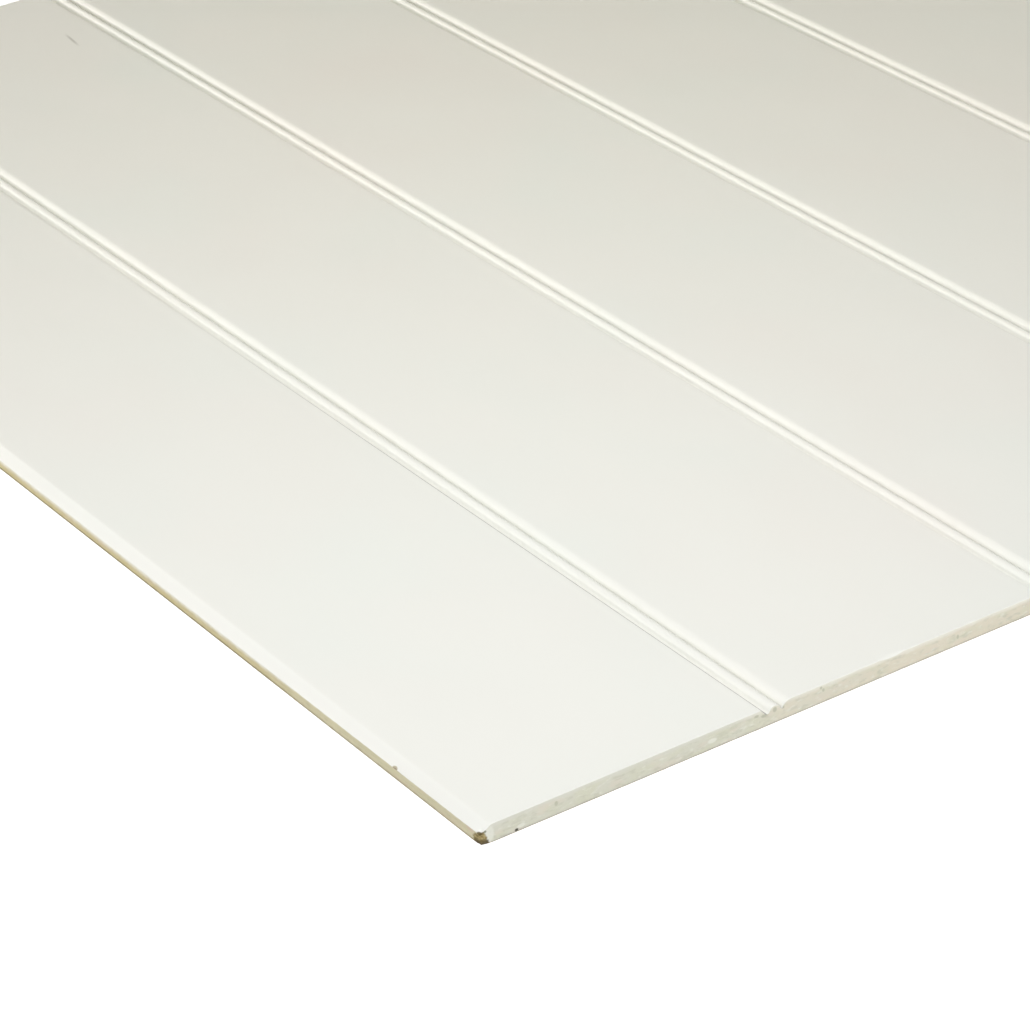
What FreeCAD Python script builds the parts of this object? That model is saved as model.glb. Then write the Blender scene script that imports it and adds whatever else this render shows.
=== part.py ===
# Beadboard panel: one flat sheet of fibreboard whose face is moulded with evenly spaced beads.
# It lies on its back, face up: X runs across the beads, Y along them and Z up through the sheet.
# The origin is the centre of the back face. All sizes are in millimetres.
import FreeCAD, Part
import math
import os

# The sheet
panel_width = 1216.0
panel_length = 609.6
panel_thickness = 6.0

# Each bead line: a round bead between two quirks. The left quirk has a straight wall up to a sharp arris,
# the right one a rounded shoulder that runs out softly into the face
bead_pitch = 101.6
bead_width = 4.0
bead_drop = 0.2
groove_depth = 2.1
left_quirk_width = 1.2
left_wall_width = 1.7
right_quirk_width = 0.8
right_shoulder_width = 2.9

# The sloped lip of both long edges, eased where it meets the face, so that two butted panels make one
# more groove
lip_width = 3.4
lip_depth = 2.4
lip_ease_radius = 1.5


class SectionPen:
    """Draws the sheet's section edge by edge, as seen looking along the beads."""

    def __init__(self, x, z):
        self.edges = []
        self.start = self.point(x, z)
        self.here = self.start

    def point(self, x, z):
        return FreeCAD.Vector(x, -panel_length / 2, z)

    def line_to(self, x, z):
        target = self.point(x, z)
        self.edges.append(Part.LineSegment(self.here, target).toShape())
        self.here = target

    def arc_to(self, middle_x, middle_z, x, z):
        target = self.point(x, z)
        middle = self.point(middle_x, middle_z)
        self.edges.append(Part.Arc(self.here, middle, target).toShape())
        self.here = target

    def fall_to(self, x, z):
        """Rounds over from level: the arc leaves the face without a kink and drops to the given point."""
        self.shoulder(self.here.x, self.here.z, x, z, x, z)

    def rise_to(self, x, z):
        """The same arc the other way: it climbs from here and ends level with the face."""
        self.shoulder(x, z, self.here.x, self.here.z, x, z)

    def shoulder(self, level_x, level_z, low_x, low_z, x, z):
        across = low_x - level_x
        drop = level_z - low_z
        radius = (across ** 2 + drop ** 2) / (2 * drop)
        half_turn = math.atan2(drop, abs(across))
        middle_x = level_x + math.copysign(radius * math.sin(half_turn), across)
        middle_z = level_z - radius * (1 - math.cos(half_turn))
        self.arc_to(middle_x, middle_z, x, z)

    def close(self):
        self.edges.append(Part.LineSegment(self.here, self.start).toShape())
        return Part.Face(Part.Wire(self.edges))


def bead_centres():
    """Places across the sheet: as many beads as fit at the pitch, with equal planks at the two edges."""
    count = int(panel_width // bead_pitch)
    first = -bead_pitch * (count - 1) / 2
    return [first + bead_pitch * number for number in range(count)]


def draw_bead(pen, centre):
    """One bead line from wall to shoulder, starting on the face to the left of it."""
    quirk_floor = panel_thickness - groove_depth
    bead_side = bead_width / 2
    wall_foot = bead_side + left_quirk_width
    shoulder_foot = bead_side + right_quirk_width

    pen.line_to(centre - wall_foot - left_wall_width, panel_thickness)
    pen.line_to(centre - wall_foot, quirk_floor)
    pen.line_to(centre - bead_side, quirk_floor)
    pen.arc_to(centre, panel_thickness - bead_drop, centre + bead_side, quirk_floor)
    pen.line_to(centre + shoulder_foot, quirk_floor)
    pen.rise_to(centre + shoulder_foot + right_shoulder_width, panel_thickness)


def panel_section():
    """The closed section: left edge, moulded face, right edge and flat back."""
    half_width = panel_width / 2
    lip_slope = math.atan2(lip_depth, lip_width)
    ease = lip_ease_radius * math.tan(lip_slope / 2)
    slope_end = lip_width - ease * math.cos(lip_slope)
    slope_top = panel_thickness - ease * math.sin(lip_slope)

    pen = SectionPen(-half_width, 0)
    pen.line_to(-half_width, panel_thickness - lip_depth)
    pen.line_to(-half_width + slope_end, slope_top)
    pen.rise_to(-half_width + lip_width + ease, panel_thickness)
    for centre in bead_centres():
        draw_bead(pen, centre)
    pen.line_to(half_width - lip_width - ease, panel_thickness)
    pen.fall_to(half_width - slope_end, slope_top)
    pen.line_to(half_width, panel_thickness - lip_depth)
    pen.line_to(half_width, 0)
    return pen.close()


# The moulder runs the section along the whole sheet, and both ends are sawn square
beadboard_panel = panel_section().extrude(FreeCAD.Vector(0, panel_length, 0))

os.makedirs("parts", exist_ok=True)
beadboard_panel.exportStep("parts/beadboard_panel.step")
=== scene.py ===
import math

import bmesh
import bpy
from mathutils import Color, Matrix, Vector, noise


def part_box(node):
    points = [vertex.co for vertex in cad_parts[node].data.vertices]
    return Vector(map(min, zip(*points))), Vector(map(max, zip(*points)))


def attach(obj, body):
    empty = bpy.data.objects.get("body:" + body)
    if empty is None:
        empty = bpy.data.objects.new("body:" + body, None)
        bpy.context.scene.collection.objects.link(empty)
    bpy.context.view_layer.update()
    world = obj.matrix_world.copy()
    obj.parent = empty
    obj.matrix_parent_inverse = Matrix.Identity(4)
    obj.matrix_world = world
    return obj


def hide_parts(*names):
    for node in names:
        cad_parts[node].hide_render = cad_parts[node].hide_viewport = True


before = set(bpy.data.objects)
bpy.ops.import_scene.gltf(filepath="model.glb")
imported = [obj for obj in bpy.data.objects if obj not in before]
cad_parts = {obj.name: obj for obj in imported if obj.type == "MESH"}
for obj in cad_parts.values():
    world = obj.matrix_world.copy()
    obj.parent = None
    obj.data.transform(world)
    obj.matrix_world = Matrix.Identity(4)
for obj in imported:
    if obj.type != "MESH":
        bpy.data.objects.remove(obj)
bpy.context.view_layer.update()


# The sheet: one board of medium-density fibreboard, run through a moulder that leaves a row of round beads,
# each between a left quirk with a straight wall and a small fillet and a right quirk with a round shoulder.
# Both long edges have a sloped lip, so that butted sheets make one more groove. The ends are sawn square.
low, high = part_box("beadboard_panel")
mm = 0.001
length = high.y - low.y
face_height = high.z
bead_pitch = 101.6 * mm
bead_width = 4.0 * mm
bead_drop = 0.2 * mm
groove_depth = 2.1 * mm
left_quirk_width = 1.2 * mm
quirk_fillet_radius = 0.6 * mm
left_wall_width = 1.7 * mm
wall_arris_radius = 0.25 * mm
right_quirk_width = 0.8 * mm
right_shoulder_width = 2.9 * mm
lip_width = 3.4 * mm
lip_depth = 2.4 * mm
lip_ease_radius = 1.5 * mm
lip_foot_radius = 0.35 * mm
bead_count = int((high.x - low.x) // bead_pitch)
first_bead = -bead_pitch * (bead_count - 1) / 2

bead_steps = 16
fillet_steps = 5
wall_arris_steps = 4
shoulder_steps = 12
lip_ease_steps = 6
lip_foot_steps = 4
lip_cuts = 7
fine_planks = 3
fine_plank_cuts = 120
plain_plank_cuts = 40
layer_cuts = 8

sheet = bmesh.new()


def line_to(vertex, x, z):
    """Draws the section straight on to a new point."""
    end = bmesh.ops.extrude_vert_indiv(sheet, verts=[vertex])["verts"][0]
    end.co = (x, low.y, z)
    return end


def points_among(items):
    """The points in a mixed lot of points, edges and faces."""
    return [item for item in items if isinstance(item, bmesh.types.BMVert)]


def round_over(vertex, centre_x, centre_z, turn, steps):
    """Draws the section on along an arc about a centre, clockwise, or back for a negative turn."""
    spun = bmesh.ops.spin(
        sheet, geom=[vertex], cent=(centre_x, low.y, centre_z), axis=(0, 1, 0), dvec=(0, 0, 0),
        angle=turn, steps=steps, use_duplicate=False)
    return points_among(spun["geom_last"])[0]


def arc_down(width, depth):
    """Radius and turn of an arc that leaves a level face and falls by depth over width."""
    return (width ** 2 + depth ** 2) / (2 * depth), 2 * math.atan2(depth, width)


quirk_floor = face_height - groove_depth
wall_slope = math.atan2(groove_depth, left_wall_width)
wall_foot = bead_width / 2 + left_quirk_width
wall_top = wall_foot + left_wall_width + wall_arris_radius * math.tan(wall_slope / 2)
bead_radius, half_bead_turn = arc_down(bead_width / 2, groove_depth - bead_drop)
bead_z = face_height - bead_drop - bead_radius
fillet_z = quirk_floor + quirk_fillet_radius
fillet_turn = math.acos((fillet_z - bead_z) / (bead_radius + quirk_fillet_radius))
fillet_foot = (bead_radius + quirk_fillet_radius) * math.sin(fillet_turn)
shoulder_radius, shoulder_turn = arc_down(right_shoulder_width, groove_depth)
shoulder_foot = bead_width / 2 + right_quirk_width
shoulder_top = shoulder_foot + right_shoulder_width
lip_slope = math.atan2(lip_depth, lip_width)
foot_turn = math.pi / 2 - lip_slope
foot_ease = lip_foot_radius * math.tan(foot_turn / 2)
foot_z = face_height - lip_depth - foot_ease
top_ease = lip_ease_radius * math.tan(lip_slope / 2)
slope_end = lip_width - top_ease * math.cos(lip_slope)
slope_top = face_height - top_ease * math.sin(lip_slope)
lip_end = lip_width + top_ease
ease_z = face_height - lip_ease_radius

pen = sheet.verts.new((low.x, low.y, foot_z))
pen = round_over(pen, low.x + lip_foot_radius, foot_z, foot_turn, lip_foot_steps)
pen = line_to(pen, low.x + slope_end, slope_top)
lips = pen.link_edges[:]
pen = round_over(pen, low.x + lip_end, ease_z, lip_slope, lip_ease_steps)
for number in range(bead_count):
    bead_x = first_bead + bead_pitch * number
    pen = line_to(pen, bead_x - wall_top, face_height)
    pen = round_over(pen, bead_x - wall_top, face_height - wall_arris_radius, wall_slope, wall_arris_steps)
    pen = line_to(pen, bead_x - wall_foot, quirk_floor)
    pen = line_to(pen, bead_x - fillet_foot, quirk_floor)
    pen = round_over(pen, bead_x - fillet_foot, fillet_z, -fillet_turn, fillet_steps)
    pen = round_over(pen, bead_x, bead_z, fillet_turn + half_bead_turn, bead_steps)
    pen = line_to(pen, bead_x + shoulder_foot, quirk_floor)
    pen = round_over(
        pen, bead_x + shoulder_top, face_height - shoulder_radius, shoulder_turn, shoulder_steps)
pen = line_to(pen, high.x - lip_end, face_height)
pen = round_over(pen, high.x - lip_end, ease_z, lip_slope, lip_ease_steps)
nose_x = lip_foot_radius * (1 - math.cos(foot_turn))
nose_z = foot_z + lip_foot_radius * math.sin(foot_turn)
pen = line_to(pen, high.x - nose_x, nose_z)
lips += pen.link_edges
round_over(pen, high.x - lip_foot_radius, foot_z, foot_turn, lip_foot_steps)

# The flat planks are cut up so that their ends can be ragged, most of all near the knocked corner
planks = [edge for edge in sheet.edges if edge.calc_length() > bead_pitch / 2]
planks.sort(key=lambda edge: edge.verts[0].co.x)
bmesh.ops.subdivide_edges(sheet, edges=planks[fine_planks:], cuts=plain_plank_cuts)
bmesh.ops.subdivide_edges(sheet, edges=planks[:fine_planks], cuts=fine_plank_cuts)
bmesh.ops.subdivide_edges(sheet, edges=lips, cuts=lip_cuts)

# The sawn end hangs from the section down to the back in layers, and is drawn out along the beads
dropped = bmesh.ops.extrude_edge_only(sheet, edges=sheet.edges[:])["geom"]
bmesh.ops.scale(sheet, vec=(1, 1, 0), verts=points_among(dropped))
uprights = [edge for edge in sheet.edges if edge.verts[0].co.x == edge.verts[1].co.x]
bmesh.ops.subdivide_edges(sheet, edges=uprights, cuts=layer_cuts, use_grid_fill=True)
drawn = bmesh.ops.extrude_face_region(sheet, geom=sheet.faces[:])["geom"]
bmesh.ops.translate(sheet, vec=(0, length, 0), verts=points_among(drawn))


def cut_across(polygons, y):
    """Cuts faces along a row that crosses the sheet."""
    touched = {item for polygon in polygons for item in (*polygon.verts, *polygon.edges)}
    bmesh.ops.bisect_plane(
        sheet, geom=[*touched, *polygons], plane_co=(0, y, 0), plane_no=(0, 1, 0), dist=1e-7)


# Rows across the sheet, closest at its ends, where the arrises are worn
end_rows = [0.06, 0.16, 0.3, 0.5, 0.8, 1.2, 1.7, 2.3, 3.0, 4.0, 5.5, 8.0, 12.0]
for row in end_rows:
    cut_across(sheet.faces[:], low.y + row * mm)
    cut_across(sheet.faces[:], high.y - row * mm)
bmesh.ops.recalc_face_normals(sheet, faces=sheet.faces[:])


def lies_flat(polygon):
    """Whether a face and all that touch it lie level, in one plane."""
    neighbours = {near for vertex in polygon.verts for near in vertex.link_faces}
    return all(abs(near.normal.z) > 0.99999 for near in neighbours)


# Between the ends, the flat of each plank and of the back is one face
long_faces = [polygon for polygon in sheet.faces if polygon.calc_perimeter() > length]
bmesh.ops.dissolve_faces(sheet, faces=[polygon for polygon in long_faces if lies_flat(polygon)])

# A knock has rounded the near corner and broken its paint, a small chip is out of the lip beside it, and
# the arris of the near end is dented on the second plank
corner_round = 2.3 * mm
plain_corner_round = 0.7 * mm
knock_reach = 5.0 * mm
knock_depth = 0.5 * mm
knock_lift = 0.2 * mm
chip_y = low.y + 43.3 * mm
chip_z = 3.62 * mm
chip_length = 1.3 * mm
chip_height = 0.42 * mm
chip_depth = 0.35 * mm
chip_rows = [-1.3, -0.9, -0.5, -0.15, 0.15, 0.5, 0.9, 1.3]
dent_x = low.x + 142 * mm
dent_length = 4.0 * mm
dent_reach = 1.5 * mm
dent_depth = 0.45 * mm
for row in chip_rows:
    left_facing = [polygon for polygon in sheet.faces if polygon.normal.x < -0.5]
    left_lip = [polygon for polygon in left_facing if polygon.calc_center_median().x < low.x + lip_end]
    cut_across(left_lip, chip_y + row * mm)

# Each surface of the moulded sheet takes its own finish, in this order of slots
paint_slot, end_slot, edge_slot, back_slot = range(4)
for polygon in sheet.faces:
    polygon.smooth = True
    if polygon.normal.z < -0.9:
        polygon.material_index = back_slot
    elif abs(polygon.normal.y) > 0.9:
        polygon.material_index = end_slot
    elif abs(polygon.normal.x) > 0.99:
        polygon.material_index = edge_slot
    else:
        polygon.material_index = paint_slot

end_ease = 0.13 * mm
end_ease_patch = 2.5 * mm
back_ease = 0.12 * mm
saw_ripple = 0.1 * mm
saw_ripple_reach = 1.0 * mm
saw_ripple_length = 4.0 * mm
saw_ripple_height = 2.0 * mm
knock_patch = 0.9 * mm
corner_patch_height = 1.5 * mm
unbroken_patch = 1.0


def arris_fall(gap, radius):
    """How far a rounded arris falls below its flat face, at a gap from its edge."""
    inside = min(radius, max(0.0, radius - gap))
    return radius - math.sqrt(radius ** 2 - inside ** 2)


def roughness_at(point, across, up):
    """A number from 0 to 1 that wanders over the sheet, in patches of a width and height in metres."""
    return 0.5 + 0.5 * noise.noise(Vector((point.x / across, point.y / across, point.z / up)))


def drawn_in(x_gap, y_gap, radius):
    """Gaps from two edges, after the square corner between them is drawn in to a quarter round."""
    x_reach = max(0.0, radius - x_gap)
    y_reach = max(0.0, radius - y_gap)
    if x_reach == 0 or y_reach == 0:
        return x_gap, y_gap
    pull = max(x_reach, y_reach) / math.hypot(x_reach, y_reach)
    return radius - x_reach * pull, radius - y_reach * pull


def worn(point):
    """Where a point of the new sheet lies after sawing and handling, never outside its old surface."""
    x_side = 1 if point.x < 0 else -1
    y_side = 1 if point.y < 0 else -1
    x_gap = max(0.0, point.x - low.x if x_side > 0 else high.x - point.x)
    y_gap = max(0.0, point.y - low.y if y_side > 0 else high.y - point.y)
    height = min(1.0, point.z / face_height)

    fall = arris_fall(y_gap, end_ease * (0.5 + roughness_at(point, end_ease_patch, unbroken_patch)))
    lift = max(arris_fall(y_gap, back_ease), arris_fall(x_gap, back_ease))
    ripple = roughness_at(point, saw_ripple_length, saw_ripple_height)
    sawn = saw_ripple * ripple * max(0.0, 1 - y_gap / saw_ripple_reach)

    if y_side > 0:
        along_dent = max(0.0, 1 - ((point.x - dent_x) / dent_length) ** 2)
        fall += dent_depth * along_dent * max(0.0, 1 - y_gap / dent_reach) ** 2

    at_knock = x_side > 0 and y_side > 0
    if at_knock:
        ragged = 0.8 + 0.4 * roughness_at(point, unbroken_patch, corner_patch_height)
        radius = corner_round * (0.45 + 0.55 * height) * ragged
        knock = max(0.0, 1 - math.hypot(x_gap, y_gap) / knock_reach) ** 2
    else:
        radius = plain_corner_round
        knock = 0.0
    dent = knock_depth * knock * roughness_at(point, knock_patch, knock_patch)
    lift += knock_lift * knock
    x_gap, y_gap = drawn_in(x_gap, y_gap + sawn, radius)

    chip = 1 - ((point.y - chip_y) / chip_length) ** 2 - ((point.z - chip_z) / chip_height) ** 2
    if x_side > 0 and x_gap < chip_length:
        dent = max(dent, chip_depth * chip)
    x_gap += dent
    y_gap += dent if at_knock and knock > 0 else 0
    return Vector((
        low.x + x_gap if x_side > 0 else high.x - x_gap,
        low.y + y_gap if y_side > 0 else high.y - y_gap,
        height * face_height - fall * height ** 3 + lift * (1 - height) ** 3))


for vertex in sheet.verts:
    vertex.co = worn(vertex.co)

panel_mesh = bpy.data.meshes.new("beadboard_panel_sheet")
sheet.to_mesh(panel_mesh)
sheet.free()
panel_mesh.set_sharp_from_angle(angle=math.radians(35))
panel = bpy.data.objects.new("beadboard_panel_sheet", panel_mesh)
bpy.context.scene.collection.objects.link(panel)
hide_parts("beadboard_panel")
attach(panel, "root")


# The face: satin white paint, sprayed over the moulded beads and round the lips in one coat. It is even,
# with a faint orange peel, and its quirks are greyed with painted shade. It is broken at the knocked corner
# and the chip, and lightly scuffed in one place.
class Amount:
    """A value that varies over a surface: a node's socket that takes part in sums."""

    def __init__(self, finish, socket):
        self.finish = finish
        self.socket = socket

    def sum(self, operation, first, second):
        return self.finish.add("Math", {"operation": operation}, {0: first, 1: second})

    def __add__(self, other):
        return self.sum("ADD", self, other)

    def __sub__(self, other):
        return self.sum("SUBTRACT", self, other)

    def __rsub__(self, other):
        return self.sum("SUBTRACT", other, self)

    def __mul__(self, other):
        return self.sum("MULTIPLY", self, other)

    def __truediv__(self, other):
        return self.sum("DIVIDE", self, other)

    def __mod__(self, other):
        return self.sum("FLOORED_MODULO", self, other)

    def __pow__(self, other):
        return self.sum("POWER", self, other)

    def __abs__(self):
        return self.finish.add("Math", {"operation": "ABSOLUTE"}, {0: self})


class Finish:
    """The nodes of one material or of the world, added by type, settings and sockets."""

    def __init__(self, owner):
        owner.use_nodes = True
        self.nodes = owner.node_tree.nodes
        self.links = owner.node_tree.links

    def feed(self, socket, value):
        """Links a socket to an amount, or sets it to a plain value."""
        if isinstance(value, Amount):
            self.links.new(value.socket, socket)
        else:
            socket.default_value = value

    def add(self, kind, settings, sockets, output=0):
        """Adds a node, sets it up and gives one of its outputs."""
        node = self.nodes.new("ShaderNode" + kind)
        for name, value in settings.items():
            setattr(node, name, value)
        for name, value in sockets.items():
            self.feed(node.inputs[name], value)
        return Amount(self, node.outputs[output])

    def measures(self):
        """How far a point lies from the near corner, in millimetres along X, Y and Z."""
        place = self.add("TexCoord", {}, {}, "Object")
        moved = self.add("Mapping", {"vector_type": "TEXTURE"}, {
            "Vector": place, "Location": (low.x, low.y, 0), "Scale": (mm, mm, mm)})
        split = self.add("SeparateXYZ", {}, {"Vector": moved}).socket.node
        return [Amount(self, socket) for socket in split.outputs]

    def grain(self, size, detail=2.0, start=(0, 0, 0)):
        """Cloudy noise from 0 to 1, with clouds of a size in millimetres along X, Y and Z."""
        place = self.add("TexCoord", {}, {}, "Object")
        scale = tuple(1 / (part * mm) for part in size)
        spread = self.add("Mapping", {}, {"Vector": place, "Location": start, "Scale": scale})
        return self.add("TexNoise", {}, {"Vector": spread, "Scale": 1.0, "Detail": detail})

    def step(self, amount, start, end):
        """A soft step from 0 to 1 as an amount goes from start to end."""
        return self.add("MapRange", {"interpolation_type": "SMOOTHSTEP"}, {
            "Value": amount, "From Min": start, "From Max": end})

    def spot(self, centre, reach):
        """A soft spot about a centre, both in millimetres from the near corner along X, Y and Z."""
        gaps = [place - middle for place, middle in zip(self.measures(), centre)]
        x, y, z = [(gap / size) ** 2 for gap, size in zip(gaps, reach)]
        return self.step(x + y + z, 1.3, 0.3)

    def blend(self, share, first, second):
        """A colour between two others."""
        return self.add("Mix", {"data_type": "RGBA"}, {0: share, 6: first, 7: second}, 2)

    def bump(self, height, depth):
        """Surface normals for a height from 0 to 1 that stands for a depth in millimetres."""
        return self.add("Bump", {}, {"Height": height, "Distance": depth * mm}, "Normal")


def colour(red, green, blue):
    """A colour as a screen shows it, each part up to 255, in the light that shaders reckon in."""
    return (*Color((red / 255, green / 255, blue / 255)).from_srgb_to_scene_linear(), 1)


bare_board = colour(192, 182, 154)
torn_board = colour(128, 112, 66)
pale_torn_board = colour(172, 156, 106)
dark_board = colour(62, 48, 22)

# The patch that the knock has bared, in millimetres about the near corner
bared_width = 1.8
bared_length = 4.4
bared_height = 4.8
bared_middle = 2.5
bared_lean = 0.3
bared_fall = 0.5


def knocked_corner(finish):
    """Where the knock has bared the board, with a ragged rim."""
    x, y, z = finish.measures()
    across = (x + (z - bared_middle) * bared_lean) / bared_width
    along = y / bared_length
    up = (z + y * bared_fall) / bared_height
    ragged = finish.grain((1.2, 1.2, 1.0), 3.0) - 0.5
    return finish.step(across ** 2 + along ** 2 + up ** 6 + ragged * 1.4, 1.4, 0.7)


def knocked_board(finish):
    """The torn board in the knock: olive brown with paler fibres, darkest at its foot, with painted shade
    in a hollow.
    """
    x, y, z = finish.measures()
    fibres = finish.step(finish.grain((0.8, 1.4, 0.6), 3.0, (3, 1, 2)), 0.4, 0.68)
    board = finish.blend(fibres, torn_board, pale_torn_board)
    foot = finish.step(z + y * 0.25 + finish.grain((0.8, 0.8, 0.8)), 2.9, 1.4)
    hollow_shade = finish.spot((0.3, 1.4, 3.7), (1.2, 1.1, 0.8))
    return finish.blend(foot * 0.85 + hollow_shade * 0.7, board, dark_board)


def chip_in_lip(finish):
    """Where the chip has taken the paint off the lip."""
    x, y, z = finish.measures()
    along = (y - (chip_y - low.y) / mm) / (chip_length / mm)
    up = (z - chip_z / mm) / (chip_height / mm)
    return finish.step(along ** 2 + up ** 2, 1.0, 0.6) * finish.step(x, 2.0, 1.0)


paint = Finish(bpy.data.materials.new("satin_white_paint"))
x, y, z = paint.measures()
white = colour(241, 240, 232)
warm_white = colour(241, 238, 230)
cool_white = colour(238, 240, 232)
coat = paint.blend(paint.step(paint.grain((140, 140, 140)), 0.3, 0.7), warm_white, cool_white)
coat = paint.blend(paint.step(paint.grain((35, 60, 35), 1.0), 0.2, 0.8), coat, white)

# One light scuff on the second plank, near its far end
scuff_x = 183.5
scuff_y = 559.5
scuff_lean = 0.12
scuff_length = 8.5
scuff_width = 0.9
aside = x - scuff_x - (y - scuff_y) * scuff_lean
scuff = paint.step(abs(aside), scuff_width, 0.1) * paint.step(abs(y - scuff_y), scuff_length, 1.0)
coat = paint.blend(scuff * 0.5, coat, colour(150, 146, 132))

# Painted shade greys the quirk floor at the foot of each wall and, more thinly, each right-hand quirk. It
# thins out along the sheet, and there is none on the lips
pitch = bead_pitch / mm
first_bead_x = (first_bead - low.x) / mm
wall_x = -wall_foot / mm
bead_side_x = bead_width / 2 / mm
quirk_bottom = quirk_floor / mm
unshaded_margin = 20
right_margin_x = (high.x - low.x) / mm - unshaded_margin
from_bead = (x - first_bead_x + pitch / 2) % pitch - pitch / 2
at_wall = paint.step(from_bead, wall_x + 0.55, wall_x + 0.35)
right_of_bead = paint.step(from_bead, bead_side_x - 0.2, bead_side_x + 0.2)
low_down = paint.step(z, quirk_bottom + 0.5, quirk_bottom + 0.05)
near_half = paint.step(y, 380, 160)
off_left_lip = paint.step(x, unshaded_margin, unshaded_margin + 1)
off_right_lip = paint.step(x, right_margin_x, right_margin_x - 1)
painted_quirk_shade = (at_wall + right_of_bead * 0.22) * near_half * low_down * off_left_lip * off_right_lip
coat = paint.blend(painted_quirk_shade * 0.9, coat, colour(150, 149, 142))

coat = paint.blend(chip_in_lip(paint), coat, bare_board)
coat = paint.blend(knocked_corner(paint), coat, knocked_board(paint))
satin = paint.nodes["Principled BSDF"]
paint.feed(satin.inputs["Base Color"], coat)
sheen = paint.grain((20, 30, 20)) * 0.12 + 0.34
paint.feed(satin.inputs["Roughness"], sheen + knocked_corner(paint) * 0.4)
paint.feed(satin.inputs["Normal"], paint.bump(paint.grain((1.6, 1.6, 1.6), 1.0), 0.012))


# The sawn ends: cut across the sheet with a fine saw and caught by the edge of the spray, so the fibres
# show through a thin off-white mist that is greyer at the near corner and warmer further along.
end = Finish(bpy.data.materials.new("sawn_end"))
x, y, z = end.measures()
grey_mist = colour(208, 207, 192)
warm_mist = colour(216, 209, 191)
green_mist = colour(206, 206, 183)
pink_mist = colour(218, 207, 192)
thin_mist = colour(192, 191, 174)
thick_mist = colour(226, 226, 215)
warmth = end.step(x + (end.grain((22, 22, 8)) - 0.5) * 120, 70, 130)
green_patch = end.step(end.grain((9, 9, 3.5), 1.0, (2, 9, 4)), 0.45, 0.65)
pink_patch = end.step(end.grain((8, 8, 3), 1.0, (6, 3, 1)), 0.52, 0.68)
thin_patch = end.step(end.grain((3, 3, 1.2), 3.0), 0.5, 0.7)
thick_patch = end.step(end.grain((2.6, 2.6, 1.1), 3.0, (7, 2, 5)), 0.54, 0.72)
mist = end.blend(warmth, grey_mist, warm_mist)
mist = end.blend(green_patch * 0.5, mist, green_mist)
mist = end.blend(pink_patch * 0.4, mist, pink_mist)
mist = end.blend(thin_patch * 0.6, mist, thin_mist)
mist = end.blend(thick_patch * 0.5, mist, thick_mist)

# The spray is thickest along the arris, and the foot is darkened with painted shade from the floor
arris_mist = end.blend(warmth, colour(213, 212, 201), colour(231, 228, 217))
by_arris = end.step(z + end.grain((6, 6, 3)), 4.7, 6.4)
painted_foot_shade = end.step(z + end.grain((5, 5, 3)) * 0.4, 0.9, 0.4)
mist = end.blend(by_arris * 0.9, mist, arris_mist)
mist = end.blend(painted_foot_shade * 0.6, mist, colour(150, 151, 140))

mark_depth = 2


def near_mark(x, z, width, height):
    """A soft mark on the near end, in millimetres along it from the near corner and up from the back."""
    return end.spot((x, 0, z), (width, mark_depth, height))


# Marks on the near end: dark streaks, mostly under the first bead, greyed and pale patches,
# a speck of dirt on the foot and painted shade in a hollow beside the knock
dark_streaks = near_mark(93.5, 4.6, 0.9, 0.5) + near_mark(96.4, 3.8, 1.4, 0.6)
dark_streaks += near_mark(100.0, 4.4, 0.8, 0.9) + near_mark(102.9, 4.1, 0.6, 0.5)
dark_streaks += near_mark(24.9, 3.75, 0.6, 0.9) + near_mark(116.5, 5.1, 0.5, 0.5)
dark_streaks += near_mark(117.3, 4.1, 0.5, 0.6) + near_mark(166.4, 3.0, 0.5, 0.8)
greyed = near_mark(81, 3.5, 3.0, 0.9) + near_mark(85.5, 4.1, 2.0, 0.6)
greyed += near_mark(13.3, 4.1, 2.2, 0.7) + near_mark(47.6, 3.9, 0.5, 0.4)
paled = near_mark(78, 2.8, 1.8, 0.8) + near_mark(13.1, 1.5, 1.4, 0.7) + near_mark(2.8, 3.0, 1.6, 3.2)
speck = near_mark(11.55, 0.7, 0.65, 0.5)
hollow_shade = near_mark(1.3, 4.15, 0.7, 0.5)
mist = end.blend(dark_streaks * 0.7, mist, colour(176, 176, 154))
mist = end.blend(greyed * 0.4, mist, colour(190, 190, 172))
mist = end.blend(paled * 0.8, mist, thick_mist)
mist = end.blend(speck, mist, colour(52, 47, 34))
mist = end.blend(hollow_shade * 0.8, mist, colour(100, 104, 74))
mist = end.blend(knocked_corner(end), mist, knocked_board(end))
sawn = end.nodes["Principled BSDF"]
end.feed(sawn.inputs["Base Color"], mist)
end.feed(sawn.inputs["Roughness"], end.grain((3, 3, 3)) * 0.2 + 0.6)
end.feed(sawn.inputs["Normal"], end.bump(end.grain((1.2, 1.2, 0.5), 4.0), 0.1))


# The long edges: bare board below the painted lip, planed by the moulder. The pale tan fibres lie in
# layers along the edge, spray has drifted down on to them from the lip, and painted shade darkens the foot.
edge = Finish(bpy.data.materials.new("bare_long_edge"))
x, y, z = edge.measures()
further = edge.step(y + (edge.grain((30, 40, 30)) - 0.5) * 90, 60, 160)
dull_tan = edge.blend(edge.grain((6, 9, 2.2), 3.0), colour(205, 199, 163), colour(220, 213, 183))
warm_tan = edge.blend(edge.grain((6, 9, 2.2), 3.0), colour(197, 185, 132), colour(215, 204, 162))
fibre = edge.blend(further, dull_tan, warm_tan)
rosy_patch = edge.step(edge.grain((9, 14, 3), 2.0, (4, 4, 4)), 0.5, 0.75)
dark_strand = edge.step(edge.grain((0.5, 3.5, 0.35), 3.0), 0.5, 0.72)
drift = edge.step(z + (edge.grain((1.4, 2.5, 1.4), 3.0) - 0.5) * 1.1, 3.2 - further * 1.7, 3.9)
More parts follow.
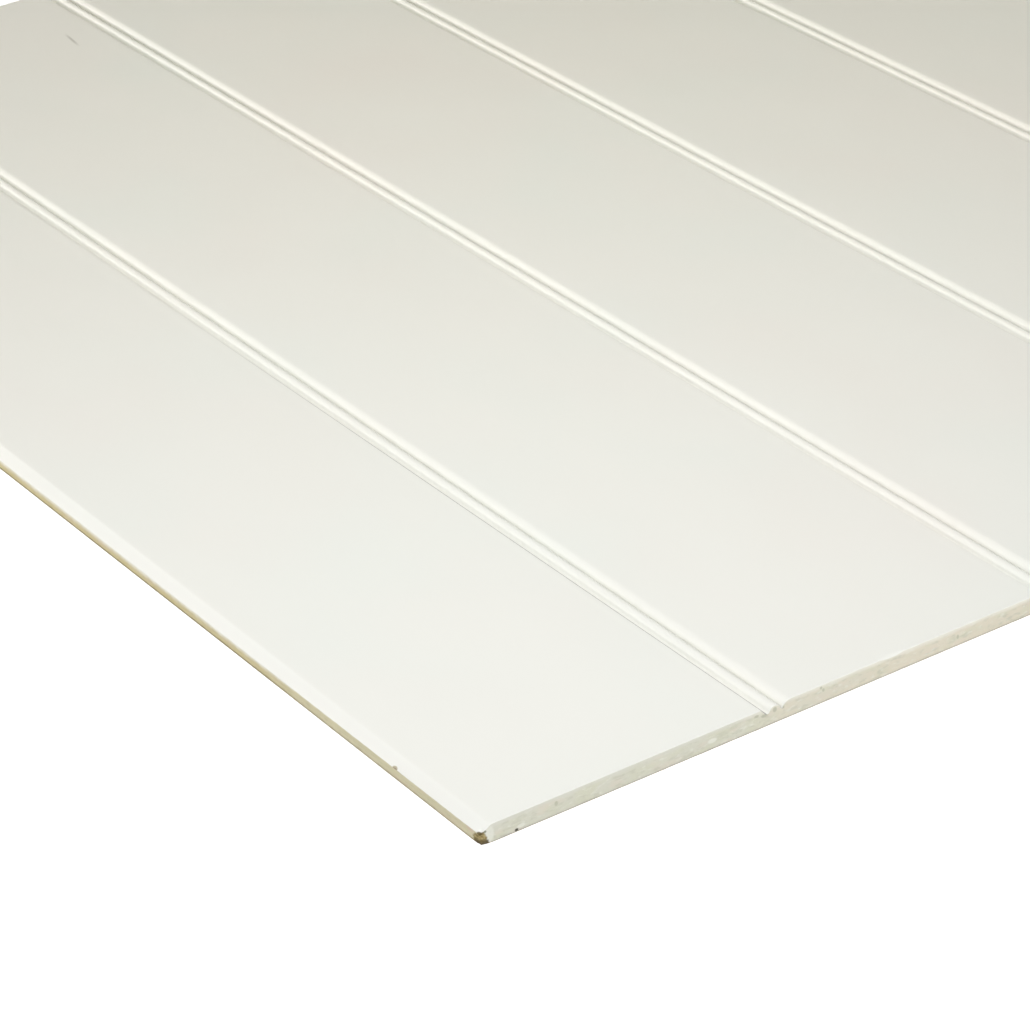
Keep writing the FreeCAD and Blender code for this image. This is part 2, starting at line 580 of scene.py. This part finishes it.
# Painted shade darkens the foot, more so further along the sheet
painted_edge_foot_shade = edge.step(z + edge.grain((2, 5, 2)) * 0.5, 1.3, 0.6) * (further * 0.35 + 0.55)
rosy_smear = edge.spot((0, 5.5, 3.2), (2, 2.0, 0.9))
fibre = edge.blend(rosy_patch * 0.5, fibre, colour(212, 196, 168))
fibre = edge.blend(dark_strand * 0.4, fibre, colour(172, 162, 128))
fibre = edge.blend(drift * 0.9, fibre, white)
fibre = edge.blend(painted_edge_foot_shade, fibre, colour(130, 121, 88))
fibre = edge.blend(rosy_smear * 0.7, fibre, colour(215, 195, 175))
fibre = edge.blend(chip_in_lip(edge), fibre, colour(150, 136, 112))
fibre = edge.blend(knocked_corner(edge), fibre, knocked_board(edge))
planed = edge.nodes["Principled BSDF"]
edge.feed(planed.inputs["Base Color"], fibre)
edge.feed(planed.inputs["Roughness"], edge.grain((2, 4, 2)) * 0.15 + 0.75)
edge.feed(planed.inputs["Normal"], edge.bump(edge.grain((0.5, 2.5, 0.4), 4.0), 0.1))


# The back: bare board as it came from the press and the sander, brown and even, with a fleck of darker
# fibre and faint sanding lines along the sheet.
back = Finish(bpy.data.materials.new("bare_back"))
board = back.blend(back.grain((60, 90, 60), 3.0), colour(176, 148, 106), colour(192, 164, 122))
fleck = back.step(back.grain((1.6, 2.6, 1.6), 4.0), 0.52, 0.72)
board = back.blend(fleck * 0.5, board, colour(146, 118, 80))
pale_fleck = back.step(back.grain((1.2, 3.4, 1.2), 4.0, (5, 8, 2)), 0.56, 0.74)
board = back.blend(pale_fleck * 0.4, board, colour(214, 190, 150))
board = back.blend(knocked_corner(back), board, knocked_board(back))
sanded = back.nodes["Principled BSDF"]
back.feed(sanded.inputs["Base Color"], board)
back.feed(sanded.inputs["Roughness"], back.grain((4, 4, 4)) * 0.15 + 0.72)
back.feed(sanded.inputs["Normal"], back.bump(back.grain((0.8, 22, 0.8), 3.0), 0.05))
for name in ("satin_white_paint", "sawn_end", "bare_long_edge", "bare_back"):
    panel_mesh.materials.append(bpy.data.materials[name])


# The floor: a plain pale studio floor that the sheet lies on, one large matt square. It glows to the eye,
# so that it looks white and is still soft with shadow.
floor_gap = 0.05 * mm
floor_half_size = 20
floor_shape = bmesh.new()
bmesh.ops.create_grid(floor_shape, x_segments=1, y_segments=1, size=floor_half_size)
bmesh.ops.translate(floor_shape, vec=(0, 0, -floor_gap), verts=floor_shape.verts[:])
floor_mesh = bpy.data.meshes.new("studio_floor")
floor_shape.to_mesh(floor_mesh)
floor_shape.free()
floor = bpy.data.objects.new("studio_floor", floor_mesh)
bpy.context.scene.collection.objects.link(floor)


def seen_by_eye(finish):
    """1 for rays from the camera, straight or by way of gloss or glass, and 0 for the light itself."""
    straight = finish.add("LightPath", {}, {}, "Is Camera Ray")
    by_gloss = finish.add("LightPath", {}, {}, "Is Glossy Ray")
    by_glass = finish.add("LightPath", {}, {}, "Is Transmission Ray")
    return finish.add("Clamp", {}, {"Value": straight + by_gloss + by_glass})


floor_glow = 0.75
matt = Finish(bpy.data.materials.new("studio_floor"))
matt_shader = matt.nodes["Principled BSDF"]
matt_shader.inputs["Base Color"].default_value = (0.85, 0.85, 0.84, 1)
matt_shader.inputs["Roughness"].default_value = 0.9
matt_shader.inputs["Specular IOR Level"].default_value = 0.0
glow = matt.add("Emission", {}, {"Strength": seen_by_eye(matt) * floor_glow})
both = matt.add("AddShader", {}, {0: Amount(matt, matt_shader.outputs[0]), 1: glow})
matt.feed(matt.nodes["Material Output"].inputs["Surface"], both)
floor_mesh.materials.append(bpy.data.materials["studio_floor"])


# The light: a cool soft box over the near corner, a warm one over the far planks, two more to the left and
# in front, a narrow beam from low at the far left along the sides of the beads, and a lamp over the half
# that the photograph cuts off. With them comes a faint warm fill, and the camera sees a white room.
fill_level = 0.01
fill_colour = (1.0, 0.93, 0.8, 1)
room = bpy.context.scene.world or bpy.data.worlds.new("studio")
bpy.context.scene.world = room
air = Finish(room)
seen = seen_by_eye(air)
sky = air.nodes["Background"]
air.feed(sky.inputs["Color"], air.blend(seen, fill_colour, (1, 1, 1, 1)))
air.feed(sky.inputs["Strength"], seen * (1 - fill_level) + fill_level)

near_corner = Vector((low.x, low.y, face_height))


def lamp(name, place, aim, size, power, tint, spread=math.pi):
    """A soft box at a place, turned to an aim, both in metres from the near corner."""
    light = bpy.data.lights.new(name, "AREA")
    light.shape = "RECTANGLE"
    light.size, light.size_y = size
    light.energy = power
    light.color = tint
    light.spread = spread
    body = bpy.data.objects.new(name, light)
    body.location = near_corner + Vector(place)
    body.rotation_mode = "QUATERNION"
    body.rotation_quaternion = (Vector(aim) - Vector(place)).to_track_quat("-Z", "Y")
    body.visible_camera = False
    bpy.context.scene.collection.objects.link(body)


lamp("key_lamp", place=(0.05, 0.05, 0.8), aim=(0.05, 0.05, 0.0), size=(0.5, 0.5),
     power=0.8, tint=(0.885, 0.925, 1.0), spread=1.5)
lamp("warm_lamp", place=(0.35, 0.45, 0.8), aim=(0.35, 0.45, 0.0), size=(0.5, 0.5),
     power=0.45, tint=(1.0, 0.893, 0.457), spread=2.0)
lamp("left_lamp", place=(-0.9, 0.2, 0.9), aim=(0.1, 0.2, 0.0), size=(0.7, 0.7),
     power=9.1, tint=(0.985, 0.98, 1.0))
lamp("end_lamp", place=(0.3, -1.0, 0.4), aim=(0.1, 0.0, 0.0), size=(0.8, 0.5),
     power=8.0, tint=(1.0, 1.0, 0.99))
lamp("far_lamp", place=(-1.2, 1.6, 0.45), aim=(0.7, 0.35, 0.0), size=(0.6, 0.3),
     power=1.05, tint=(1.0, 0.96, 0.95), spread=0.6)
lamp("right_lamp", place=(1.1, 0.3, 0.8), aim=(1.1, 0.3, 0.0), size=(0.6, 0.5),
     power=0.45, tint=(1.0, 0.98, 0.93), spread=1.25)


# The camera: where the photograph was taken from, with a long lens that looks down on the near corner along
# the beads. It is fitted to the edges of the sheet and to the bead lines.
view_azimuth = math.radians(-32.4845)
view_elevation = math.radians(29.2471)
view_roll = math.radians(-3.5192)
aim = near_corner + Vector((104.77, 137.44, 0)) * mm
distance = 1299.11 * mm
camera_data = bpy.data.cameras.new("camera")
camera_data.lens = 148.279
camera_data.sensor_width = 36
camera = bpy.data.objects.new("camera", camera_data)
bpy.context.scene.collection.objects.link(camera)
behind = Vector((
    math.sin(view_azimuth) * math.cos(view_elevation),
    -math.cos(view_azimuth) * math.cos(view_elevation),
    math.sin(view_elevation)))
right = Vector((math.cos(view_azimuth), math.sin(view_azimuth), 0))
upright = Matrix((right, behind.cross(right), behind)).transposed().to_4x4()
turned = upright @ Matrix.Rotation(view_roll, 4, "Z")
camera.matrix_world = Matrix.Translation(aim + behind * distance) @ turned
bpy.context.scene.camera = camera
bpy.context.scene.view_settings.view_transform = "Standard"
